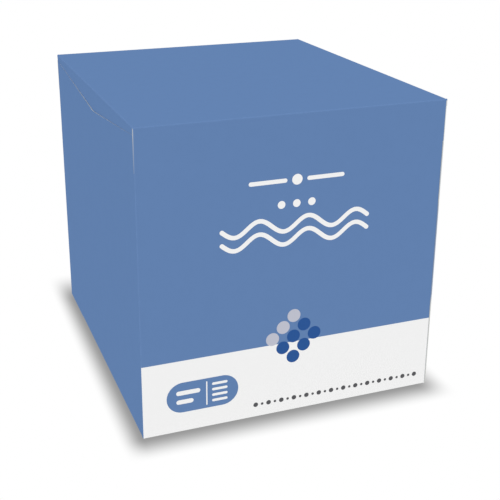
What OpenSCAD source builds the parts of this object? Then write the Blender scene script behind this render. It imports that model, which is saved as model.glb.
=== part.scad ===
/* [Carton] */
// Outside width, left to right
carton_w = 112.4; // [95:0.1:140]
// Outside depth, front to back
carton_d = 127.5; // [110:0.5:160]
// Outside height
carton_h = 112; // [80:0.5:150]

/* [Board] */
// Thickness of the folding board
board_t = 0.4; // [0.3:0.05:0.6]
// Outside radius of a creased fold
fold_r = 0.5; // [0.45:0.05:1.5]

/* [Top closure] */
// How far below the top the cut edge of the side and back walls ends at the corners
edge_drop = 2.5; // [2:0.1:5]
// How far below the top the same edge lies at the point of its shallow V
vee_drop = 8.6; // [6:0.1:12]
// Distance of that point behind the front face
vee_pos = 58.5; // [40:0.5:80]
// Length of the relief slit down each folded corner
slit_l = 15; // [13:0.5:25]
// Width of the slit
slit_w = 0.25; // [0.1:0.05:0.6]

/* [Glued side seam] */
// How far the raw front edge of the right wall stands behind the front face
seam_back = 0.25; // [0.1:0.05:0.35]

/* [Bottom closure] */
// Strip that the outer bottom flap leaves open at the back
flap_gap = 5; // [2:0.5:20]
// How far the flap's sides are set in from the walls
flap_inset = 1.5; // [0.8:0.1:4]
// Distance behind its fold over which the flap narrows
flap_relief = 6; // [3:0.5:15]

/* [Print] */
// Height of the white band along the foot of the front
band_h = 28; // [22:0.5:45]
// Length of the blue capsule on the band
capsule_l = 26.5; // [18:0.1:36]
// Height of the capsule
capsule_h = 11.8; // [8:0.1:14]
// Distance of the capsule's centre from the left edge of the front
capsule_x = 22; // [19:0.1:28]
// Height of the capsule's centre above the base
capsule_z = 13.6; // [8:0.1:18]
// Diameter of each dot in the dot pattern
dot_d = 5; // [3:0.1:5.2]
// Distance between neighbouring dots along the pattern's slanting rows
dot_pitch = 5.7; // [5.3:0.1:7]
// Dots in each slanting row
dots_in_row = 3; // [2:1:4]
// Height of the pattern's centre above the base
dots_z = 30.2; // [28:0.1:60]

/* [Hidden] */
$fn = 64;

print_blue = [98, 129, 175] / 255;
bare_white = [241, 241, 241] / 255;
dark_blue = [46, 86, 148] / 255;
pale_lilac = [189, 191, 204] / 255;

left = -carton_w / 2;
right = carton_w / 2;
front = -carton_d / 2;
back = carton_d / 2;
left_in = left + board_t;
right_in = right - board_t;
front_in = front + board_t;
back_in = back - board_t;
// The print is let into the face to this depth, so that the face stays flat
ink_depth = board_t / 2;
// Overlap of the right wall and the glue flap behind it, so that they meet at an angle
seam_bite = board_t / 10;

// Rectangle from lo to hi with a creased fold at each corner named in folds,
// where a corner is a pair of signs, such as [-1, 1] for low x and high y
module folded_rectangle(lo, hi, folds) {
    middle = (lo + hi) / 2;
    half = (hi - lo) / 2;
    difference() {
        translate(lo) square(hi - lo);
        for (corner = folds)
            translate([middle.x + corner.x * half.x, middle.y + corner.y * half.y])
                square(2 * fold_r, center = true);
    }
    for (corner = folds)
        translate([middle.x + corner.x * (half.x - fold_r), middle.y + corner.y * (half.y - fold_r)])
            circle(fold_r);
}

// Outline drawn in y and z, carried along x
module along_x(x0, x1) {
    translate([x0, 0, 0]) rotate([90, 0, 90]) linear_extrude(x1 - x0) children();
}

// Outline drawn in x and z, carried along y
module along_y(y0, y1) {
    translate([0, y1, 0]) rotate([90, 0, 0]) linear_extrude(y1 - y0) children();
}

// The four walls seen from above: one strip of board, folded round three corners,
// whose last wall, the right one, is glued over the flap at the fourth
module wall_plan() {
    folded_rectangle([left, front], [right_in, front / 2], [[-1, -1], [1, -1]]);
    folded_rectangle([left, front / 2], [right, back], [[-1, 1], [1, 1]]);
    translate([right_in - seam_bite, front + seam_back]) square([board_t + seam_bite, -front]);
}

// The walls seen from the left, with the cut edge along their top
module wall_side() {
    polygon([
        [front, board_t], [front, carton_h - edge_drop],
        [front + vee_pos, carton_h - vee_drop],
        [back_in, carton_h - edge_drop], [back, carton_h - edge_drop], [back, board_t]
    ]);
}

// The sleeve of four walls, closed over the stack of tissues that fills it
module sleeve() {
    intersection() {
        linear_extrude(carton_h) wall_plan();
        along_x(left, right) wall_side();
        along_y(front, back) folded_rectangle([left, board_t], [right, carton_h], [[-1, -1], [1, -1]]);
    }
}

// The top panel from lo to hi, seen from one side, creased at both ends. Below the
// creases its flaps lean in, to lo_in and hi_in at the depth of the shallow V
module top_section(lo, hi, lo_in, hi_in) {
    folded_rectangle([lo, carton_h - 2 * fold_r], [hi, carton_h], [[-1, 1], [1, 1]]);
    polygon([
        [lo, carton_h - 2 * fold_r], [hi, carton_h - 2 * fold_r],
        [hi_in, carton_h - vee_drop], [hi_in, carton_h - slit_l],
        [lo_in, carton_h - slit_l], [lo_in, carton_h - vee_drop]
    ]);
}

// The top panel, creased along the front wall, with the flaps that lean in from
// its other edges and are tucked behind the side and back walls
module top_closure() {
    difference() {
        intersection() {
            along_y(front, back) top_section(left, right, left_in, right_in);
            along_x(left, right) top_section(front, back, front, back_in);
        }
        // Only the crease itself reaches over the raw front edge of the right wall
        translate([right_in, front, carton_h - slit_l]) cube([board_t, board_t, slit_l - fold_r]);
    }
}

// Raw corner beside a relief slit, of the front or back wall, from the slit's foot up to z1
module raw_corner(x, y, z1) {
    translate([x, y, carton_h - slit_l]) cube([board_t, board_t, z1 - carton_h + slit_l]);
}

// Relief slit in a side wall, along the edge that faces the raw corner
module relief_slit(x, y) {
    translate([x, y, carton_h - slit_l]) cube([board_t, slit_w, slit_l - edge_drop]);
}

// The outer bottom flap, creased along the front wall and narrowed behind the crease
module bottom_flap() {
    linear_extrude(2 * board_t)
        polygon([
            [left + fold_r, front], [left + flap_inset + fold_r, front + flap_relief],
            [left + flap_inset + fold_r, back - flap_gap], [right_in - flap_inset - fold_r, back - flap_gap],
            [right_in - flap_inset - fold_r, front + flap_relief], [right_in - fold_r, front]
        ]);
}

// The bottom seen from the left: the front fold meets the table, and the back
// wall's fold stands one board higher, on the inner flap
module base_side() {
    folded_rectangle([front, 0], [back - flap_gap, carton_h], [[-1, -1]]);
    folded_rectangle([0, board_t], [back, carton_h], [[1, -1]]);
}

// The whole closed carton, before its print is let in
module closed_carton() {
    difference() {
        union() {
            intersection() {
                union() {
                    sleeve();
                    top_closure();
                    bottom_flap();
                }
                along_x(left, right) base_side();
            }
            raw_corner(left, front, carton_h - fold_r);
            raw_corner(left, back_in, carton_h - edge_drop);
            raw_corner(right_in, back_in, carton_h - edge_drop);
        }
        relief_slit(left, front_in);
        relief_slit(left, back_in - slit_w);
        relief_slit(right_in, back_in - slit_w);
    }
}

// Solid behind one printed field of the front wall, from an outline in x and z
module printed_field() {
    along_y(front, front + ink_depth) children();
}

// The white band along the foot of the front
module band() {
    printed_field() translate([left, 0]) square([right_in - left, band_h]);
}

// The blue capsule on the band
module capsule() {
    straight_l = capsule_l - capsule_h;
    printed_field() translate([left + capsule_x, capsule_z]) {
        square([straight_l, capsule_h], center = true);
        for (side = [-1, 1]) translate([side * straight_l / 2, 0]) circle(d = capsule_h);
    }
}

// Slanting rows of dots, from row first to row last of a diamond that stands over the band's edge
module dots(first, last) {
    middle = (dots_in_row - 1) / 2;
    printed_field() translate([0, dots_z]) rotate(45)
        for (row = [first : last], place = [0 : dots_in_row - 1])
            translate([place - middle, row - middle] * dot_pitch) circle(d = dot_d);
}

module tissue_box() {
    color(print_blue) difference() {
        closed_carton();
        band();
        dots(0, dots_in_row - 1);
    }
    color(bare_white) difference() {
        intersection() {
            closed_carton();
            band();
        }
        capsule();
        dots(0, dots_in_row - 1);
    }
    color(print_blue) capsule();
    color(dark_blue) dots(0, dots_in_row - 2);
    color(pale_lilac) dots(dots_in_row - 1, dots_in_row - 1);
}

tissue_box();
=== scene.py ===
from math import pi, radians

import bpy
import numpy as np
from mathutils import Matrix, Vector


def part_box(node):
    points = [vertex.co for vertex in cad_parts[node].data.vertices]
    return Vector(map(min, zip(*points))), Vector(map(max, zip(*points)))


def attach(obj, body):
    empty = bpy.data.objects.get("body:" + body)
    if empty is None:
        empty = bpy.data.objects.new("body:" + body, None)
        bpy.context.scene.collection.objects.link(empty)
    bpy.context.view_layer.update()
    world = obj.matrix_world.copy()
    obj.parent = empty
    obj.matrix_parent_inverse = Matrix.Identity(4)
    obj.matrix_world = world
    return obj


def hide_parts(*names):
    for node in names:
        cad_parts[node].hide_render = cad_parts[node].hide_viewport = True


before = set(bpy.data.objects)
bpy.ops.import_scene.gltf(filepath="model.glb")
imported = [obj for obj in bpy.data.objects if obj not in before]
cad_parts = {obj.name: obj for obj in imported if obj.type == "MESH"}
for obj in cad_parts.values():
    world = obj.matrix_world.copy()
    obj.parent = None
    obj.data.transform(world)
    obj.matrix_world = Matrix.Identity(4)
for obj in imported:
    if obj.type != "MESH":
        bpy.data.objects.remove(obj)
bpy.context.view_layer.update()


# The die-cut blank: one sheet of clay-coated folding board, 0.4 mm thick, printed on its outside, creased,
# and folded round the tissues. Its walls run from the raw front edge of the right wall, by way of the back
# and the left, to the front wall and the flap that is glued behind that raw edge.
mm = 0.001
low, high = (np.array(corner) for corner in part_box("tissue_box"))
ink_film = 0.02 * mm
board = 0.4 * mm
fold_radius = 0.5 * mm
glue_gap = 0.02 * mm
left, right = low[0], high[0]
base, top = low[2], high[2]
# The front wall stands back by the ink's thickness, so that the print is flush with the solid's front
front, back = low[1] + ink_film, high[1]
right_in, base_in = right - board - glue_gap, base + board + glue_gap
wall_foot = base_in + fold_radius
arc_steps = 8

# What covers a cell of the board's outside, by its number in the carton's list of materials. Worn board has
# the finish of the printed board's cut edges, and NO_BOARD leaves a hole.
NO_BOARD, PRINTED, WHITE, WORN = -1, 0, 1, 2


def crease_path(corners, stops, outside):
    """Outside of a folded strip seen end on: straight legs between its corners, joined by arcs of the fold's
    radius, each of which takes radius x tan(turn / 2) off the two legs. stops gives each leg's extra points,
    as distances from its first corner, and outside is 1 where the outside lies to the right of the way the
    path runs, and -1 to the left. On an arc the normal swings evenly from one leg's to the next one's, and
    the arc bulges to the outside, or to the inside where the path turns towards its outside. Returns points,
    outward normals, and each point's leg, with a half added on the arc that follows the leg."""
    points, normals, legs = [], [], []
    length = np.linalg.norm(np.diff(corners, axis=0), axis=1)
    way = np.diff(corners, axis=0) / length[:, None]
    out = outside * np.stack([way[:, 1], -way[:, 0]], 1)
    turn = np.arccos((way[1:] * way[:-1]).sum(1))
    bulge = fold_radius * np.sign((out[:-1] * (way[:-1] - way[1:])).sum(1))
    cut = fold_radius * np.tan(np.array([0, *turn, 0]) / 2)
    for leg, corner in enumerate(corners[:-1]):
        start, end = cut[leg], length[leg] - cut[leg + 1]
        # A leg that its two arcs use up keeps one point
        along = np.array([start, *stops[leg], end] if end - start > glue_gap else [end])
        points.append(corner + along[:, None] * way[leg])
        normals.append(np.repeat(out[leg][None], len(along), 0))
        legs.append(np.full(len(along), float(leg)))
        if leg < len(turn):
            swing = np.linspace(0, turn[leg], arc_steps + 1)[1:-1, None]
            arc = (np.sin(turn[leg] - swing) * out[leg] + np.sin(swing) * out[leg + 1]) / np.sin(turn[leg])
            points.append(points[-1][-1] + bulge[leg] * (arc - out[leg]))
            normals.append(arc)
            legs.append(np.full(len(arc), leg + 0.5))
    return np.concatenate(points), np.concatenate(normals), np.concatenate(legs)


def carried(path, normals, along, axes):
    """Grid of a strip's outside: its end-on path in the first direction, carried straight in the second.
    axes names the path's two coordinates and the one it is carried along, and along gives the places there,
    either the same for the whole path or a row for each of its points."""
    along = np.broadcast_to(along, (len(path), np.shape(along)[-1]))
    points = np.zeros(along.shape + (3,))
    outward = np.zeros_like(points)
    points[..., axes[0]], points[..., axes[1]] = path[:, :1], path[:, 1:]
    outward[..., axes[0]], outward[..., axes[1]] = normals[:, :1], normals[:, 1:]
    points[..., axes[2]] = along
    return points, outward


def covered(points, finish):
    """Finish of every cell of a grid of points: the same one, or what an array spread over them says."""
    return np.full((points.shape[0] - 1, points.shape[1] - 1), finish)


# The walls are cut and creased from the one sheet, and start at the seam, seam_back behind the front face.
# The cut top of the side walls is a shallow V, edge_drop below the top at its ends and vee_drop at its
# point, and relief slits run down the folded corners beside it.
seam_back = 0.25 * mm
glue_flap = 18 * mm
glue_flap_top = top - 24 * mm
edge_drop = 2.5 * mm
vee_drop = 8.6 * mm
vee_at = front + 58.5 * mm
slit_foot = top - 15 * mm
band_top = base + 28 * mm
inner_flap = 25 * mm
flap_inset = 1.5 * mm
between_flaps = 2 * mm
dust_flap_front, dust_flap_back = front + flap_inset, back - inner_flap - between_flaps

# The top's flaps are tucked in behind pressed board, and lean in far enough to clear it at the point of the
# V. Their folds at the sides take side_fold off the top panel.
pressed = 0.7 * board
lean = (pressed + glue_gap) / vee_drop
side_fold = fold_radius * np.tan((pi / 2 + np.arctan(lean)) / 2)
tuck_front = front + fold_radius

# The walls' plan has extra points where those of the top's and the bottom's flaps meet it.
plan = np.array([[right, front + seam_back], [right, back], [left, back], [left, front],
                 [right_in, front], [right_in, front + glue_flap]])
RIGHT_WALL, BACK_WALL, LEFT_WALL, FRONT_WALL, GLUE_FLAP = range(len(plan) - 1)
stations = np.array([dust_flap_front, vee_at, dust_flap_back])
seam_stations = np.array([tuck_front - glue_gap, *stations]) - plan[0, 1]
path, normals, leg = crease_path(plan, [seam_stations, [], (back - stations)[::-1], [side_fold], []], 1)

# The walls' rows stop at the top of the white band, where the ink on the seam's raw edge begins and ends,
# at the glue flap's top, at the foot of the relief slits, where the folded corners end, and at the foot and
# head of a last row along each wall's own top.
inked = base + np.array([34, 38, 71, 75]) * mm
vee = np.interp(path[:, 1], [front, vee_at, back], [edge_drop, vee_drop, edge_drop])
wall_top = top - np.select([leg == FRONT_WALL, leg == BACK_WALL], [fold_radius, edge_drop], vee)
last_row = edge_drop - fold_radius
levels = [np.full(len(path), z) for z in (wall_foot, band_top, *inked, glue_flap_top, slit_foot)]
walls, walls_out = carried(path, normals, np.stack([*levels, wall_top - last_row, wall_top], 1), (0, 1, 2))
walls_finish = covered(walls, PRINTED)
on_arc = (leg[1:] % 1 + leg[:-1] % 1) > 0
walls_finish[on_arc, -2:] = NO_BOARD
walls_finish[leg[:-1] == GLUE_FLAP, -3:] = NO_BOARD

# The white band ends halfway round the folds at both sides of the front, where they have turned 45 degrees
facing_front = (normals[1:, 1] + normals[:-1, 1]) / 2 < -np.sqrt(0.5)
walls_finish[facing_front, 0] = WHITE
patches = [(walls, walls_out, walls_finish)]


# Beside the slits the front and back walls run out square to the corner, with a raw end, along which the ink
# of the front left one is worn. At the front right one only the top does, above the seam's raw edge.
def upright(y, facing, columns, upper_end, finish=PRINTED):
    """Flat strip of a front or back wall: columns across it, and the walls' last two rows up it."""
    path = np.stack([np.array(columns), np.full(len(columns), y)], 1)
    normals = np.tile([0.0, facing], (len(columns), 1))
    points, outward = carried(path, normals, [slit_foot, upper_end - last_row, upper_end], (0, 1, 2))
    return points, outward, covered(points, finish)


worn_width = 0.2 * mm
front_top = top - fold_radius
left_end = [left, left + worn_width, left + fold_radius]
right_end = [right_in - fold_radius, right - side_fold, right_in, right]
patches += [
    upright(front, -1, left_end, front_top, [[WORN], [PRINTED]]),
    upright(front, -1, right_end, front_top, [[PRINTED, PRINTED], [PRINTED, PRINTED], [NO_BOARD, WORN]]),
    upright(back, 1, [left, left + fold_radius], top - edge_drop),
    upright(back, 1, [right - fold_radius, right], top - edge_drop),
]


# The top panel is creased along the front wall. Its rear and side flaps lean in from their creases and are
# tucked behind the walls.
flap_relief = 6 * mm
side_tuck, rear_tuck = 22 * mm, 14 * mm


def narrowed(columns, behind_fold):
    """Columns of a flap, drawn in evenly towards its middle as the distance behind its fold grows."""
    middle, half = (columns[0] + columns[-1]) / 2, (columns[-1] - columns[0]) / 2
    inset = flap_inset * np.clip(behind_fold / flap_relief, 0, 1)[:, None]
    return middle + (columns - middle) * (1 - inset / abs(half))


# The lid is the front crease, the top panel and the rear flap. Its outermost columns are there only at the
# crease, where they carry on the front wall's ends, and the side flaps' folds take their place behind it.
lid_columns = np.array([*left_end, left + side_fold, *right_end])
lid_corners = np.array([[front, front_top], [front, top], [back, top],
                        [back - lean * rear_tuck, top - rear_tuck]])
lid_path, lid_normals, lid_leg = crease_path(lid_corners, [[], [vee_at - front], []], -1)
TOP_PANEL = 1
behind = np.where(lid_leg > TOP_PANEL, top - lid_path[:, 1], 0)
lid, lid_out = carried(lid_path, lid_normals, narrowed(lid_columns, behind), (1, 2, 0))
lid_finish = covered(lid, PRINTED)
outermost = np.abs(lid_columns[1:] + lid_columns[:-1]) / 2 > right - side_fold
lid_finish[np.ix_(lid_leg[:-1] >= TOP_PANEL, outermost)] = NO_BOARD
patches.append((lid, lid_out, lid_finish))
flap_y = np.append(lid_path[lid_leg == TOP_PANEL, 0], back)
for edge, side in ((left, 1), (right, -1)):
    flap_corners = np.array([[edge + side * side_fold, top], [edge, top],
                             [edge + side * lean * side_tuck, top - side_tuck]])
    flap_path, flap_normals, _ = crease_path(flap_corners, [[], [edge_drop]], side)
    flap, flap_out = carried(flap_path, flap_normals, flap_y, (0, 2, 1))
    flap_finish = covered(flap, PRINTED)
    # Behind the wall the flap ends short of the back
    flap_finish[-1, -1] = NO_BOARD
    patches.append((flap, flap_out, flap_finish))


# The bottom is closed by the outer flap, which hangs on the front wall and is what the box stands on, over
# an inner flap from the back wall and a dust flap from each side, whose folds sag almost to the table. They
# all narrow behind their folds, and the walls' ink or white runs on over the folds as far as that.
flap_gap = 5 * mm
dust_flap = 38 * mm
sag = base + 0.05 * mm
sag_reach, rise_reach = 0.7 * mm, 1.45 * mm


def tucked_in(wall, inward, reach):
    """Corners of an inner bottom flap, end on: down its wall to just above the table, a little way in, and
    up onto the outer flap, whose edge stands back from the wall by more than that."""
    across = wall + inward * np.array([0, 0, sag_reach, rise_reach, reach])
    return np.stack([across, [wall_foot, sag, sag, base_in, base_in]], 1)


left_y, right_y = (y[(y > dust_flap_front - glue_gap) & (y < dust_flap_back + glue_gap)]
                   for y in (walls[leg == LEFT_WALL, 0, 1], walls[leg == RIGHT_WALL, 0, 1]))
for corners, outside, fold_finish, columns, axes in (
    (np.array([[front, wall_foot], [front, base], [back - flap_gap, base]]), 1, WHITE,
     walls[leg == FRONT_WALL, 0, 0], (1, 2, 0)),
    (tucked_in(back, -1, inner_flap), -1, PRINTED, walls[leg == BACK_WALL, 0, 0], (1, 2, 0)),
    (tucked_in(left, 1, dust_flap), 1, PRINTED, left_y, (0, 2, 1)),
    (tucked_in(right, -1, dust_flap), -1, PRINTED, right_y, (0, 2, 1)),
):
    behind = np.abs(corners[:, 0] - corners[0, 0])
    stops = [[]] * (len(corners) - 2) + [[flap_relief - behind[-2]]]
    flap_path, flap_normals, _ = crease_path(corners, stops, outside)
    behind = np.abs(flap_path[:, 0] - corners[0, 0])
    flap, flap_out = carried(flap_path, flap_normals, narrowed(columns, behind), axes)
    flap_finish = covered(flap, fold_finish)
    flap_finish[-1] = WHITE
    patches.append((flap, flap_out, flap_finish))

# Where no flap hangs, the walls and the folded corners run on down, and end just above the table.
foot = base + 0.15 * mm
on_side = np.isin(leg, (LEFT_WALL, RIGHT_WALL))
middle_y = (path[1:, 1] + path[:-1, 1]) / 2
no_flap = (middle_y > dust_flap_back) | (middle_y < dust_flap_front)
bare_side = on_side[1:] & on_side[:-1] & no_flap
fold_start = np.where(leg == FRONT_WALL, base, sag) + fold_radius
foot_rows = np.stack([np.full(len(path), foot), fold_start, np.full(len(path), wall_foot)], 1)
feet, feet_out = carried(path, normals, foot_rows, (0, 1, 2))
feet_finish = np.where(on_arc | bare_side, walls_finish[:, 0], NO_BOARD)
patches.append((feet, feet_out, np.stack([feet_finish, feet_finish], 1)))


# All of these stretches of board are one closed sheet with a raw rim round it. The walls were pressed thin
# where they lie over a tucked flap.
weld_step = 0.001 * mm


def sheet(name, patches, thickness, materials):
    """Closed sheet over patches of its outside, each a grid of points, of outward normals and of the cells'
    finishes. Patches that share a line of points are welded along it. The inside lies behind the outside by
    the thickness, which a function gives for each point, and every edge that only one cell uses gets a raw
    rim. materials holds the outside's finishes, then the finish of each one's rim, the last of them for the
    inside too, and a cell that has a rim's finish keeps it on its rim. One material alone covers it all."""
    corners, cells, finishes, count = [], [], [], 0
    for points, outward, finish in patches:
        number = count + np.arange(points.shape[0] * points.shape[1]).reshape(points.shape[:2])
        count += number.size
        quads = np.stack([number[:-1, :-1], number[1:, :-1], number[1:, 1:], number[:-1, 1:]], -1)
        facing = np.cross(points[1:, :-1] - points[:-1, :-1], points[:-1, 1:] - points[:-1, :-1])
        if (facing * outward[:-1, :-1]).sum() < 0:
            quads = quads[..., ::-1]
        corners.append(np.concatenate([points, outward], -1).reshape(-1, 6))
        cells.append(quads[finish != NO_BOARD])
        finishes.append(finish[finish != NO_BOARD])
    corners, cells, finishes = map(np.concatenate, (corners, cells, finishes))

    # Points that lie in the same place are welded into one
    places = np.round(corners[:, :3] / weld_step).astype(int)
    first, weld = np.unique(places, axis=0, return_index=True, return_inverse=True)[1:]
    cells = weld.reshape(-1)[cells]
    points, outward = corners[first, :3], corners[first, 3:]
    size = len(points)

    # Two cells run along the edge between them in opposite ways, so an edge without its opposite gets a rim
    edges = np.stack([cells, np.roll(cells, -1, 1)], -1).reshape(-1, 2)
    alone = ~np.isin(edges[:, 0] * size + edges[:, 1], edges[:, 1] * size + edges[:, 0])
    rim = edges[alone]
    rims = np.stack([rim[:, 1], rim[:, 0], rim[:, 0] + size, rim[:, 1] + size], -1)
    quads = np.concatenate([cells, cells[:, ::-1] + size, rims])
    vertices = np.concatenate([points, points - thickness(points)[:, None] * outward])
    kept = np.unique(quads)
    place = np.zeros(2 * size, int)
    place[kept] = np.arange(len(kept))

    mesh = bpy.data.meshes.new(name)
    mesh.from_pydata(vertices[kept].tolist(), [], place[quads].tolist())
    flat = np.cross(vertices[rims[:, 1]] - vertices[rims[:, 0]], vertices[rims[:, 3]] - vertices[rims[:, 0]])
    flat /= np.linalg.norm(flat, axis=1, keepdims=True)
    shading = np.concatenate([outward[cells], -outward[cells[:, ::-1]], np.repeat(flat[:, None], 4, 1)])
    mesh.polygons.foreach_set("use_smooth", np.ones(len(quads), bool))
    mesh.normals_split_custom_set(shading.reshape(-1, 3).tolist())
    for material in materials:
        mesh.materials.append(material)
    outside_count, last = len(materials) // 2, len(materials) - 1
    rim_finish = np.repeat(finishes, 4)[alone]
    rim_finish[rim_finish < outside_count] += outside_count
    finish = np.concatenate([finishes, np.full(len(cells), last), rim_finish])
    mesh.polygons.foreach_set("material_index", finish.astype(np.int32))
    mesh.update()
    piece = bpy.data.objects.new(name, mesh)
    bpy.context.scene.collection.objects.link(piece)
    return piece


def board_depth(points):
    """Thickness of the board, which is pressed thin towards the cut top of the side and back walls, in step
    with how far behind their outside the tucked flap lies there: the pressed thickness times drop / drop of
    the V. In front of the tucked flap the seam's raw edge keeps its whole thickness."""
    drop = top - points[:, 2]
    outer = (np.abs(points[:, 0]) > right - glue_gap / 2) | (points[:, 1] > back - glue_gap / 2)
    outer &= points[:, 1] > tuck_front - glue_gap / 2
    pressed_part = outer & (drop > edge_drop - glue_gap)
    return np.where(pressed_part, np.minimum(pressed * drop / vee_drop, board), board)


# The carton's surface: matt blue ink, the white clay coat where no ink lies, and raw grey-white board along
# the cut edges and inside. The ink is a little lighter along the folds, where it is worn and a highlight is
# painted.
def srgb(*levels):
    """Linear colour, opaque, from the three 8-bit levels of a printed colour: each level's share of 255 over
    12.92 near black, and (share + 0.055) / 1.055 to the power of 2.4 above that."""
    share = np.array(levels) / 255
    linear = np.where(share <= 0.04045, share / 12.92, ((share + 0.055) / 1.055) ** 2.4)
    return (*linear.tolist(), 1.0)


def node(tree, kind, values=None, **settings):
    """Adds a node, sets its plain settings, and fills or links its inputs by name or number."""
    made = tree.nodes.new(kind)
    for key, value in settings.items():
        setattr(made, key, value)
    for key, value in (values or {}).items():
        if isinstance(value, bpy.types.NodeSocket):
            tree.links.new(value, made.inputs[key])
        else:
            made.inputs[key].default_value = value
    return made


def grain_group():
    """What every board and ink surface shows close up: a slow mottle of the ink, which lightens and darkens
    the colour, and the coated fibres' fine relief. It puts out the coloured mottle and a height."""
    tree = bpy.data.node_groups.new("board_grain", "ShaderNodeTree")
    face = tree.interface
    face.new_socket("Color", in_out="INPUT", socket_type="NodeSocketColor")
    face.new_socket("Mottle", in_out="INPUT", socket_type="NodeSocketFloat")
    face.new_socket("Color", in_out="OUTPUT", socket_type="NodeSocketColor")
    face.new_socket("Height", in_out="OUTPUT", socket_type="NodeSocketFloat")
    entry, leave = tree.nodes.new("NodeGroupInput"), tree.nodes.new("NodeGroupOutput")
    place = node(tree, "ShaderNodeTexCoord").outputs["Object"]
    cloud = node(tree, "ShaderNodeTexNoise",
                 {"Vector": place, "Scale": 260.0, "Detail": 5.0, "Roughness": 0.65})
    swing = node(tree, "ShaderNodeMath", {0: cloud.outputs["Fac"], 1: 0.5}, operation="SUBTRACT")
    depth = node(tree, "ShaderNodeMath", {0: swing.outputs[0], 1: entry.outputs["Mottle"]},
                 operation="MULTIPLY")
    level = node(tree, "ShaderNodeMath", {0: depth.outputs[0], 1: 1.0}, operation="ADD")
    tinted = node(tree, "ShaderNodeVectorMath", {0: entry.outputs["Color"], 1: level.outputs[0]},
                  operation="MULTIPLY")
    fibres = node(tree, "ShaderNodeTexNoise", {"Vector": place, "Scale": 2400.0, "Detail": 3.0})
    tree.links.new(tinted.outputs[0], leave.inputs["Color"])
    tree.links.new(fibres.outputs["Fac"], leave.inputs["Height"])
    return tree


def fold_group():
    """Mask of the creased edges, where the ink is worn and a highlight is painted: 1 on the fold and fading
    out over Reach, broken up along its length. The distance from a box's nearest edge is the middle one of
    the distances to its three pairs of faces."""
    tree = bpy.data.node_groups.new("fold_wear_and_highlight", "ShaderNodeTree")
    tree.interface.new_socket("Reach", in_out="INPUT", socket_type="NodeSocketFloat")
    tree.interface.new_socket("WearAndHighlight", in_out="OUTPUT", socket_type="NodeSocketFloat")
    entry, leave = tree.nodes.new("NodeGroupInput"), tree.nodes.new("NodeGroupOutput")
    place = node(tree, "ShaderNodeTexCoord").outputs["Object"]
    centred = node(tree, "ShaderNodeVectorMath", {0: place, 1: tuple((low + high) / 2)},
                   operation="SUBTRACT")
    folded = node(tree, "ShaderNodeVectorMath", {0: centred.outputs[0]}, operation="ABSOLUTE")
    inner = node(tree, "ShaderNodeVectorMath", {0: tuple((high - low) / 2), 1: folded.outputs[0]},
                 operation="SUBTRACT")
    a, b, c = node(tree, "ShaderNodeSeparateXYZ", {0: inner.outputs[0]}).outputs

    def pick(which, one, other):
        """The smaller, the larger or the product of two values."""
        return node(tree, "ShaderNodeMath", {0: one, 1: other}, operation=which).outputs[0]

    distance = pick("MAXIMUM", pick("MINIMUM", a, b), pick("MINIMUM", pick("MAXIMUM", a, b), c))
    near = node(tree, "ShaderNodeMapRange",
                {"Value": distance, "From Max": entry.outputs["Reach"], "To Min": 1.0, "To Max": 0.0},
                interpolation_type="SMOOTHSTEP")
    broken = node(tree, "ShaderNodeTexNoise",
                  {"Vector": place, "Scale": 420.0, "Detail": 6.0, "Roughness": 0.7})
    strength = node(tree, "ShaderNodeMapRange",
                    {"Value": broken.outputs["Fac"], "From Min": 0.3, "From Max": 0.75, "To Min": 0.35})
    tree.links.new(pick("MULTIPLY", near.outputs[0], strength.outputs[0]), leave.inputs["WearAndHighlight"])
    return tree


board_grain, fold_wear_and_highlight = grain_group(), fold_group()


def wear_and_highlight_share(tree):
    """Share of the lighter fold colour on a face: the worn ink and painted highlight of the folds nearby."""
    return node(tree, "ShaderNodeGroup", {"Reach": 0.6 * mm}, node_tree=fold_wear_and_highlight).outputs["WearAndHighlight"]


def bare_share(tree):
    """Share of bare board on a cut edge, from the carton's own attribute."""
    return node(tree, "ShaderNodeAttribute", attribute_name="bare").outputs["Fac"]


def board_finish(name, colour, mottle, roughness=0.6, relief=0.012 * mm, second=None, share=None):
    """Procedural finish of coated board or of ink on it. A second colour takes the first one's place by the
    share that the function given with it puts out."""
    material = bpy.data.materials.new(name)
    material.use_nodes = True
    tree = material.node_tree
    shader = tree.nodes["Principled BSDF"]
    grain = node(tree, "ShaderNodeGroup", {"Color": colour, "Mottle": mottle}, node_tree=board_grain)
    colour_out = grain.outputs["Color"]
    if second:
        blend = node(tree, "ShaderNodeMix", {"Factor": share(tree), "A": colour_out, "B": second},
                     data_type="RGBA")
        colour_out = blend.outputs["Result"]
    tree.links.new(colour_out, shader.inputs["Base Color"])
    bump = node(tree, "ShaderNodeBump", {"Height": grain.outputs["Height"], "Distance": relief})
    tree.links.new(bump.outputs["Normal"], shader.inputs["Normal"])
    shader.inputs["Roughness"].default_value = roughness
    shader.inputs["Specular IOR Level"].default_value = 0.0
    return material


# The lighter blue on the folds stands for worn ink together with a painted highlight along the creases
blue, worn_and_highlit_blue, raw = srgb(98, 129, 175), srgb(106, 137, 184), srgb(206, 207, 203)
raw_roughness, raw_relief = 0.9, 0.03 * mm
blue_print = board_finish("blue_print", blue, mottle=0.05, second=worn_and_highlit_blue, share=wear_and_highlight_share)
white_board = board_finish("white_board", srgb(241, 241, 241), mottle=0.02)
blue_edge = board_finish("blue_edge", blue, 0.05, raw_roughness, raw_relief, raw, bare_share)
raw_board = board_finish("raw_board", raw, 0.1, raw_roughness, raw_relief)
carton = sheet("carton", patches, board_depth, [blue_print, white_board, blue_edge, raw_board])

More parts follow.
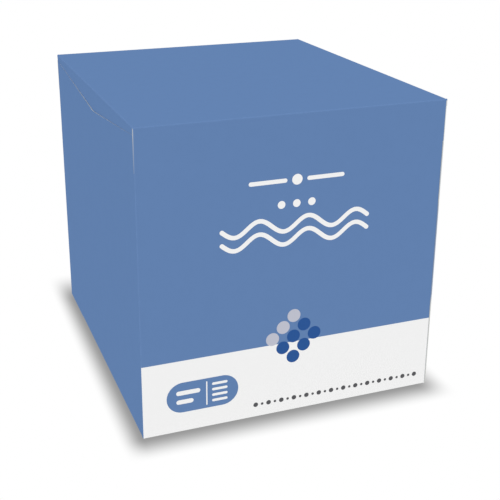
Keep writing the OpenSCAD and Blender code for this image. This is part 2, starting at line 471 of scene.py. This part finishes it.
# How bare the cut edges of the printed board are, at each point: the lists hold shares of bare board. Ink
# has run over the ends of the walls' cut tops, the foot of the corner beside the front left slit, and the
# seam's raw edge halfway up. The front face and the top fold aren't bare at all.
places = np.empty(3 * len(carton.data.vertices))
carton.data.vertices.foreach_get("co", places)
x, y, z = places.reshape(-1, 3).T
bare = np.ones(len(x))
on_cut_top = (z > top - vee_drop - glue_gap) & (z < top - edge_drop + glue_gap)
bare[on_cut_top] = np.interp(y[on_cut_top], [front, vee_at, back], [0.6, 1, 0.4])
bare[y < front + glue_gap] = 0
at_front = y < front + 2 * board
on_corner = (x < left + glue_gap) & at_front
bare[on_corner] = np.interp(z[on_corner], [slit_foot, top - edge_drop], [0.2, 0.85])
on_seam = (x > right_in - glue_gap / 2) & at_front
bare[on_seam] = np.interp(z[on_seam], inked, [1, 0.4, 0.4, 0.85])
bare[z > top - fold_radius / 2] = 0
carton.data.attributes.new("bare", "FLOAT", "POINT").data.foreach_set("value", bare)
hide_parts("tissue_box")
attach(carton, "root")


# The capsule on the white band: an island of the same blue ink, with its marks left out of the ink, so that
# the bare white board shows there. Here every mark is a film that is next to nothing thick, and the marks in
# the capsule lie over its own film, which is thinner.
def stroke(spine, width, film):
    """One stroke of ink on the front wall, film thick, with round ends. Each point of its spine, in x and z,
    is widened by half the width to both sides. Beyond the spine's ends, half the width times the cosine of
    an angle further on, it is widened by half the width times the sine. A spine of one point makes a dot."""
    spine = np.atleast_2d(spine)
    way = np.gradient(spine, axis=0) if len(spine) > 1 else np.array([[1.0, 0.0]])
    way = way / np.linalg.norm(way, axis=1, keepdims=True)
    angle = np.radians(np.arange(4, 90, 8))[:, None]
    ahead = width / 2 * np.cos(angle)
    middle = np.concatenate([spine[0] - ahead * way[0], spine, spine[-1] + ahead[::-1] * way[-1]])
    half = width / 2 * np.concatenate([np.sin(angle), np.ones((len(spine), 1)), np.sin(angle[::-1])])
    way = np.concatenate([np.repeat(way[:1], len(angle), 0), way, np.repeat(way[-1:], len(angle), 0)])
    side = half * np.stack([-way[:, 1], way[:, 0]], 1)
    points = np.full((len(middle), 2, 3), front - film)
    points[:, 0, ::2], points[:, 1, ::2] = middle - side, middle + side
    outward = np.zeros_like(points)
    outward[..., 1] = -1
    return points, outward, covered(points, 0)


def printed(name, spines, width, ink, film=ink_film):
    """All strokes of one ink and one width, as one piece that goes with the carton. Spines are in mm across
    from the middle of the front and up from its foot, and widths are in mm too."""
    strokes = [stroke(np.array(spine) * mm, width * mm, film) for spine in spines]
    piece = sheet(name, strokes, lambda points: np.full(len(points), film), [ink])
    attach(piece, "root")
    return piece


capsule_l, capsule_h = 26.5, 11.8
capsule_x, capsule_z = -34.2, 13.6
capsule_end = (capsule_l - capsule_h) / 2
capsule_spine = [(capsule_x - capsule_end, capsule_z), (capsule_x + capsule_end, capsule_z)]
divider_x, divider_half = -32.75, 4.5
divider_spine = [(divider_x, capsule_z - divider_half), (divider_x, capsule_z + divider_half)]
bar_spines = [[(-43.1, 15.4), (-36.0, 15.4)], [(-43.1, 11.9), (-38.5, 11.9)]]
stack_pitch = 2.2
stack_spines = [[(-30.3, z), (-25.5, z)] for z in capsule_z + stack_pitch * np.arange(-1.5, 2)]
printed("capsule", [capsule_spine], capsule_h, blue_print, film=ink_film / 2)
printed("capsule_rule", [divider_spine], width=0.45, ink=white_board)
printed("capsule_bars", bar_spines, width=1.7, ink=white_board)
printed("capsule_stack", stack_spines, width=1.0, ink=white_board)


# A diamond of nine dots stands over the edge of the white band, two slanting rows in a deep blue and one in
# a pale lilac, each from its own printing plate.
dot, dot_pitch, dots_z = 5.0, 5.7, 30.2
slant = dot_pitch * np.sqrt(0.5)
deep_blue = board_finish("deep_blue_ink", srgb(46, 86, 148), mottle=0.06)
pale_lilac = board_finish("pale_lilac_ink", srgb(189, 191, 204), mottle=0.03)
for name, rows, ink in (("dots_deep_blue", (-1, 0), deep_blue), ("dots_pale_lilac", (1,), pale_lilac)):
    centres = [[(slant * (place - row), dots_z + slant * (place + row))]
               for row in rows for place in (-1, 0, 1)]
    printed(name, centres, dot, ink)


# The white marks on the blue are bare board again: a pair of soft waves across the middle of the panel,
# three dots above them, and above those a rule with a larger dot in its middle. A wave's height is its rise
# times the sine of a full turn for each wave length.
wave_half, wave_length, wave_rise, wave_points = 27, 18, 2.4, 145
wave_x = np.linspace(-wave_half, wave_half, wave_points)
wave_z = wave_rise * np.sin(2 * pi * wave_x / wave_length)
waves = [np.stack([wave_x, middle + wave_z], 1) for middle in (68.4, 73.2)]
printed("waves", waves, width=1.6, ink=white_board)
printed("three_dots", [[(x, 80.5)] for x in (-5.6, 0, 5.6)], width=2.8, ink=white_board)
rule_z, rule_from, rule_to = 89, 4.4, 16.8
rule_halves = [[(-rule_to, rule_z), (-rule_from, rule_z)], [(rule_from, rule_z), (rule_to, rule_z)]]
printed("rule", rule_halves, width=1.5, ink=white_board)
printed("rule_dot", [[(0, rule_z)]], width=3.8, ink=white_board)


# The row of beads along the foot of the band, large and small by turns. It is printed in grey ink on the
# white coat.
bead_grey = board_finish("grey_ink", srgb(88, 88, 91), mottle=0.05)
bead_pitch, row_end, bead_z = 5.0, 51.5, 5.0
for name, row_start, bead in (("foot_beads_large", -14.2, 1.8), ("foot_beads_small", -11.7, 1.0)):
    bead_x = np.arange(row_start, row_end, bead_pitch)
    printed(name, [[(x, bead_z)] for x in bead_x], bead, bead_grey)


# The floor: a plain pale table top, which lights the box evenly from below. The camera sees it as plain
# white, with a painted contact shadow round the box's foot, worked out from the distance to the foot's
# sides, which reaches furthest behind and in front of it and is faintest on its right.
half_floor = 3.0
floor_light = 0.98
painted_foot_shade = 0.684
floor_corners = [(-half_floor, -half_floor, base), (half_floor, -half_floor, base),
                 (half_floor, half_floor, base), (-half_floor, half_floor, base)]
floor_mesh = bpy.data.meshes.new("floor")
floor_mesh.from_pydata(floor_corners, [], [(0, 1, 2, 3)])
floor = bpy.data.objects.new("floor", floor_mesh)
bpy.context.scene.collection.objects.link(floor)
table_top = bpy.data.materials.new("table_top")
table_top.use_nodes = True
tree = table_top.node_tree
tree.nodes.clear()

# The painted shadow: across each side of the box's foot the shade grows smoothly, from nothing at its outer
# limit to all of it at its inner one, and what the four sides leave of it is taken from the white.
place = node(tree, "ShaderNodeTexCoord").outputs["Object"]
x_place, y_place, _ = node(tree, "ShaderNodeSeparateXYZ", {0: place}).outputs
shade = painted_foot_shade
for side, outer_limit, inner_limit in (
    (x_place, low[0] - 9 * mm, low[0] + 0.4 * mm),
    (x_place, high[0] + 9.1 * mm, high[0] - 4.5 * mm),
    (y_place, low[1] - 13.6 * mm, low[1] + 0.75 * mm),
    (y_place, high[1] + 24 * mm, high[1] - 7.6 * mm),
):
    grown = node(tree, "ShaderNodeMapRange",
                 {"Value": side, "From Min": outer_limit, "From Max": inner_limit},
                 interpolation_type="SMOOTHSTEP")
    shade = node(tree, "ShaderNodeMath", {0: grown.outputs[0], 1: shade}, operation="MULTIPLY").outputs[0]
painted_shadow = node(tree, "ShaderNodeMath", {0: 1.0, 1: shade}, operation="SUBTRACT")
rays = node(tree, "ShaderNodeLightPath").outputs
seen = node(tree, "ShaderNodeMath", {0: rays["Is Camera Ray"], 1: rays["Is Glossy Ray"]},
            operation="MAXIMUM")
pale = node(tree, "ShaderNodeMix", {"Factor": seen.outputs[0], "A": floor_light, "B": painted_shadow.outputs[0]},
            data_type="FLOAT")
white = node(tree, "ShaderNodeEmission", {"Color": pale.outputs["Result"], "Strength": 1.0})
node(tree, "ShaderNodeOutputMaterial", {"Surface": white.outputs[0]})
floor_mesh.materials.append(table_top)


# The light: a white room all round, which is a little dimmer than the plain white that the camera sees, and
# one large soft lamp in front and above.
room_light = 0.94
room = bpy.data.worlds.new("white_room")
room.use_nodes = True
tree = room.node_tree
tree.nodes.clear()
rays = node(tree, "ShaderNodeLightPath").outputs
wall_light = node(tree, "ShaderNodeMapRange", {"Value": rays["Is Camera Ray"], "To Min": room_light})
backdrop = node(tree, "ShaderNodeBackground", {"Color": (1, 1, 1, 1), "Strength": wall_light.outputs[0]})
node(tree, "ShaderNodeOutputWorld", {"Surface": backdrop.outputs[0]})
bpy.context.scene.world = room

lamp_light = bpy.data.lights.new("soft_lamp", "AREA")
lamp_light.energy = 2.2
lamp_light.size = 1.2
lamp = bpy.data.objects.new("soft_lamp", lamp_light)
lamp.location = (-0.1, -0.45, 1.25)
lamp.rotation_euler = (radians(21), 0, radians(-12))
bpy.context.scene.collection.objects.link(lamp)


# The camera stands in front of the box, to its left and above, and its long lens is turned down on it. Its
# place, turn, lens and shift were solved from seven corners of the real box.
turned_down, turned_right = 19.619, 19.98
view_data = bpy.data.cameras.new("camera")
view_data.lens = 68.745
view_data.sensor_width = 36
view_data.shift_x, view_data.shift_y = 0.0416, -0.0935
camera = bpy.data.objects.new("camera", view_data)
camera.location = (-0.12569, -0.34238, 0.18908)
camera.rotation_euler = (radians(90 - turned_down), 0, radians(-turned_right))
bpy.context.scene.collection.objects.link(camera)
bpy.context.scene.camera = camera
bpy.context.scene.view_settings.view_transform = "Standard"
